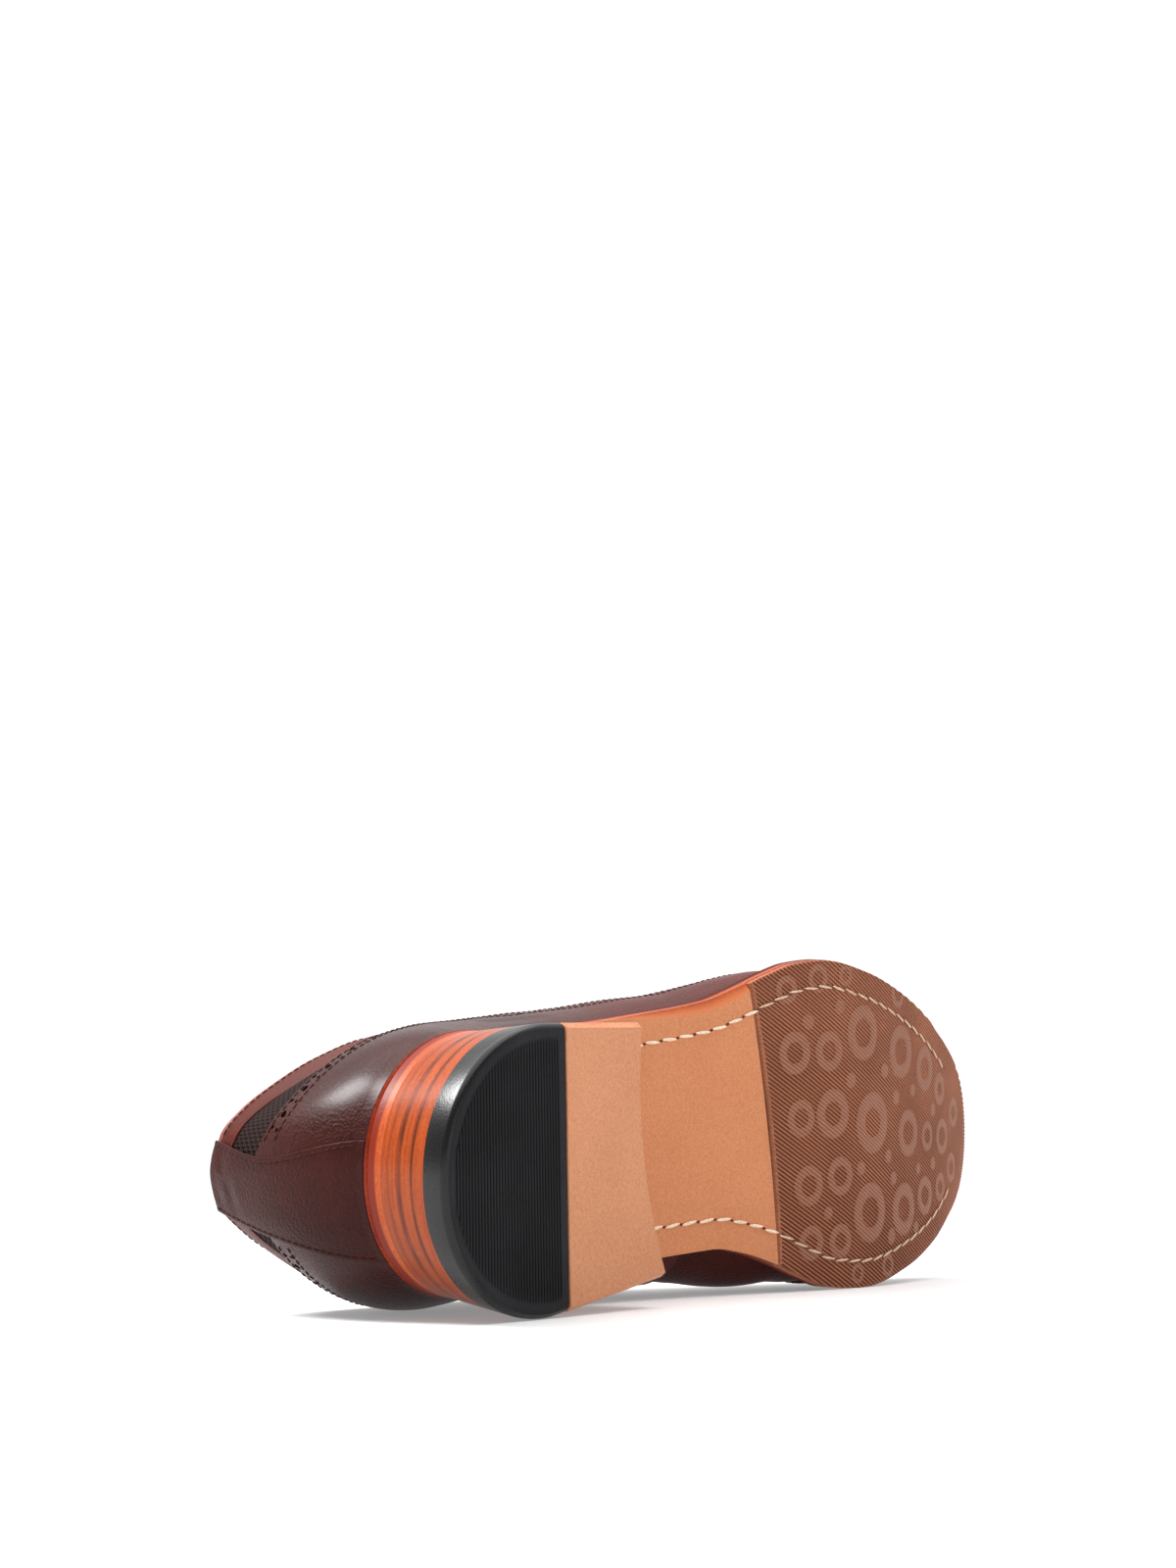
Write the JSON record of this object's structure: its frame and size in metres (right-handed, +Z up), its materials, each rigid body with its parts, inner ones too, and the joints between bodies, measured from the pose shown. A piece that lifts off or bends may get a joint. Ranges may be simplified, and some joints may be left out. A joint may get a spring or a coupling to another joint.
{
  "type": "brogue shoe",
  "caption": "Right lace-up brogue shoe of dark leather, lying on its inner side, with a stacked leather heel, a rubber top piece, a leather waist and a ribbed rubber forefoot tread.",
  "frame": {"origin": "on the floor, under the middle of the bounding box of the shoe as it lies on its inner side", "axes": "+X towards the toe, -Y the way the sole faces, +Z up from the floor"},
  "size_m": [0.3008, 0.1036, 0.1035],
  "materials": {
    "sole_leather": "matt tan leather with a short nap",
    "tread_rubber": "matt brown rubber",
    "welt_leather": "dark red-brown dyed leather",
    "stack_leather": "polished orange-brown stacked leather",
    "black_rubber": "black rubber with a soft sheen",
    "insole_leather": "matt tan sock leather",
    "upper_leather": "fine-grained burgundy-brown leather, semi-gloss",
    "overlay_leather": "polished burgundy-brown leather",
    "lace_cord": "waxed brown cord"
  },
  "bodies": {
    "root": {"outsole": "sole_leather", "forefoot_tread": "tread_rubber", "insole": "insole_leather", "welt": "welt_leather", "heel_rubber": "black_rubber", "heel_leather": "sole_leather", "heel_lift_1": "stack_leather", "heel_lift_2": "stack_leather", "heel_lift_3": "stack_leather", "heel_lift_4": "stack_leather", "upper": "upper_leather", "back_strip": "overlay_leather", "foxing_lateral": "overlay_leather", "foxing_medial": "overlay_leather", "facing_lateral": "overlay_leather", "facing_medial": "overlay_leather", "wing_tip": "overlay_leather", "tongue": "upper_leather", "lace_bar_1": "lace_cord", "lace_bar_2": "lace_cord", "lace_bar_3": "lace_cord", "lace_bar_4": "lace_cord", "lace_bar_5": "lace_cord"}
  },
  "joints": []
}
